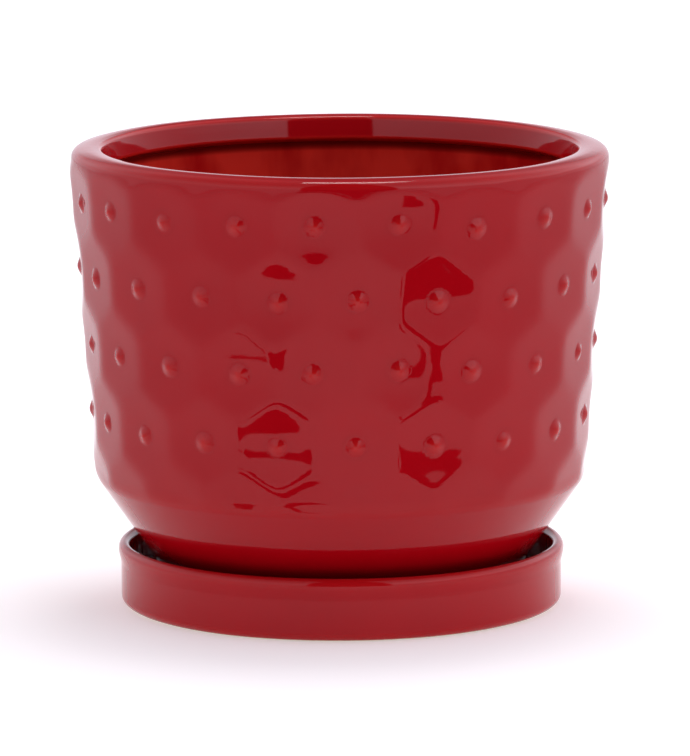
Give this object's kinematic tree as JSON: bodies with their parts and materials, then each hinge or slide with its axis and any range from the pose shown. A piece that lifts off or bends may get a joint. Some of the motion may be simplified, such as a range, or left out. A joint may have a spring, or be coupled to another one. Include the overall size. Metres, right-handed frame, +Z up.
{
  "type": "planter with saucer",
  "caption": "Round glazed planter with staggered dished cells and nubs, a thick collared rim and a chamfered base, standing loose in a round saucer with a rolled lip.",
  "frame": {"origin": "centre of the saucer's underside, on the surface that the planter stands on", "axes": "+Z up along the axis of the pot and saucer; the front of the picture faces -Y, with +X to the right"},
  "size_m": [0.203, 0.203, 0.174],
  "materials": {
    "pot_glaze": "gloss",
    "saucer_glaze": "gloss"
  },
  "bodies": {
    "saucer_body": {"saucer": "saucer_glaze"},
    "pot_body": {"pot": "pot_glaze"}
  },
  "joints": [
    {"name": "pot_lift", "type": "slide", "parent": "saucer_body", "child": "pot_body", "axis": [0, 0, 1], "range_m": [0, 0.06]}
  ]
}
